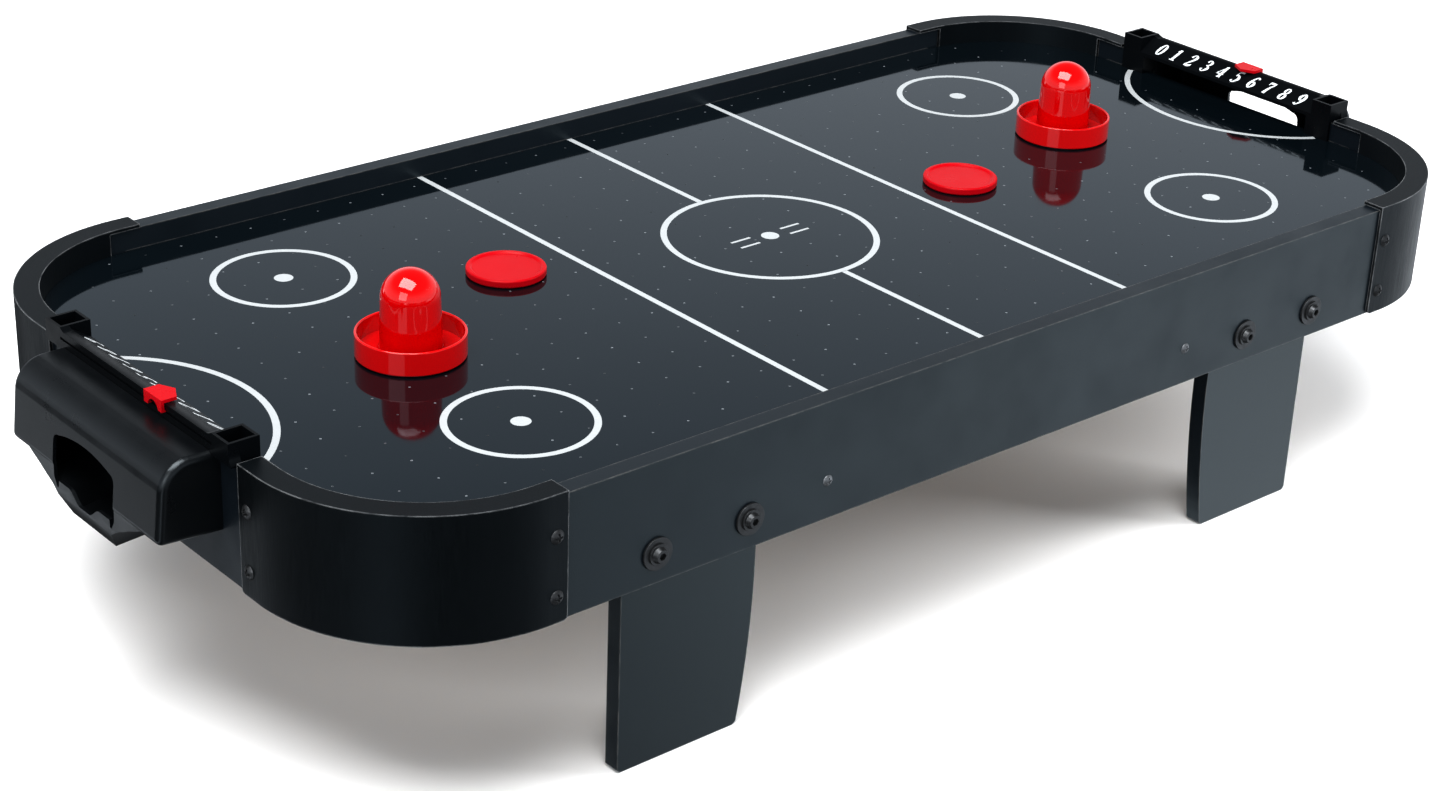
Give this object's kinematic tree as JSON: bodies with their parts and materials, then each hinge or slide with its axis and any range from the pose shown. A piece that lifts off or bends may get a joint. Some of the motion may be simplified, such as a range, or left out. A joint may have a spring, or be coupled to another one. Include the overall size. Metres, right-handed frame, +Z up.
{
  "type": "air hockey table",
  "caption": "Tabletop air hockey table on board legs: blown playing surface with round corners, goals with score sliders and catch boxes, pushers and pucks.",
  "frame": {"origin": "on the floor under the middle of the table", "axes": "+X along the table towards the right-hand goal, +Y towards the back board with the power switch, +Z up"},
  "size_m": [0.9992, 0.4662, 0.2398],
  "materials": {
    "board_foil": "satin foil",
    "corner_plastic": "fine grain, satin",
    "goal_plastic": "satin",
    "play_laminate": "polished",
    "raw_board": "unfinished",
    "black_steel": "black oxide",
    "red_gloss": "gloss",
    "felt": "felt",
    "winding": "enamelled copper",
    "lead_pvc": "matt",
    "inlet_plastic": "satin",
    "fan_plastic": "satin"
  },
  "bodies": {
    "table": {"side_board_front": "board_foil", "side_board_back": "board_foil", "end_board_left": "board_foil", "end_board_right": "board_foil", "corner_front_left": "corner_plastic", "corner_front_right": "corner_plastic", "corner_back_left": "corner_plastic", "corner_back_right": "corner_plastic", "corner_screws": "black_steel", "playing_surface": "play_laminate", "base_panel": "raw_board", "air_batten_front": "raw_board", "air_batten_back": "raw_board", "air_batten_left": "raw_board", "air_batten_right": "raw_board", "cross_brace_left": "raw_board", "cross_brace_right": "raw_board", "brace_screws": "black_steel", "leg_front_left": "board_foil", "leg_front_right": "board_foil", "leg_back_left": "board_foil", "leg_back_right": "board_foil", "leg_bolts": "black_steel", "leg_washers": "black_steel", "leg_nuts": "black_steel", "goal_frame_left": "goal_plastic", "goal_frame_right": "goal_plastic", "goal_box_left": "goal_plastic", "goal_box_right": "goal_plastic", "goal_screws": "black_steel", "fan_frame": "fan_plastic", "fan_stator": "winding", "fan_guard": "black_steel", "fan_screws": "black_steel", "switch_plate": "fan_plastic", "switch_body": "fan_plastic", "dc_inlet": "inlet_plastic", "fan_lead": "lead_pvc", "lead_clips": "fan_plastic"},
    "score_slider_left": {"score_slider_left": "red_gloss"},
    "score_slider_right": {"score_slider_right": "red_gloss"},
    "fan_impeller": {"fan_impeller": "fan_plastic"},
    "power_rocker": {"power_rocker": "fan_plastic"},
    "pusher_left": {"pusher_left": "red_gloss", "pusher_felt_left": "felt"},
    "pusher_right": {"pusher_right": "red_gloss", "pusher_felt_right": "felt"},
    "puck_left": {"puck_left": "red_gloss"},
    "puck_right": {"puck_right": "red_gloss"}
  },
  "joints": [
    {"name": "score_left_slide", "type": "slide", "parent": "table", "child": "score_slider_left", "axis": [0, 1, 0], "range_m": [-0.0424, 0.0924]},
    {"name": "score_right_slide", "type": "slide", "parent": "table", "child": "score_slider_right", "axis": [0, 1, 0], "range_m": [-0.0584, 0.0764]},
    {"name": "fan_spin", "type": "hinge", "parent": "table", "child": "fan_impeller", "pos_m": [0, 0, 0.15], "axis": [0, 0, 1], "continuous": true},
    {"name": "rocker_tip", "type": "hinge", "parent": "table", "child": "power_rocker", "pos_m": [0.018, 0.2236, 0.1535], "axis": [0, 0, 1], "range_deg": [-18, 0]},
    {"name": "pusher_left_glide", "type": "slide", "parent": "table", "child": "pusher_left", "axis": [1, 0, 0], "range_m": [-0.11, 0.25]},
    {"name": "pusher_right_glide", "type": "slide", "parent": "table", "child": "pusher_right", "axis": [0, 1, 0], "range_m": [-0.197, 0.153]},
    {"name": "puck_left_glide", "type": "slide", "parent": "table", "child": "puck_left", "axis": [1, 0, 0], "range_m": [-0.235, 0.3]},
    {"name": "puck_right_glide", "type": "slide", "parent": "table", "child": "puck_right", "axis": [1, 0, 0], "range_m": [-0.125, 0.06]}
  ]
}
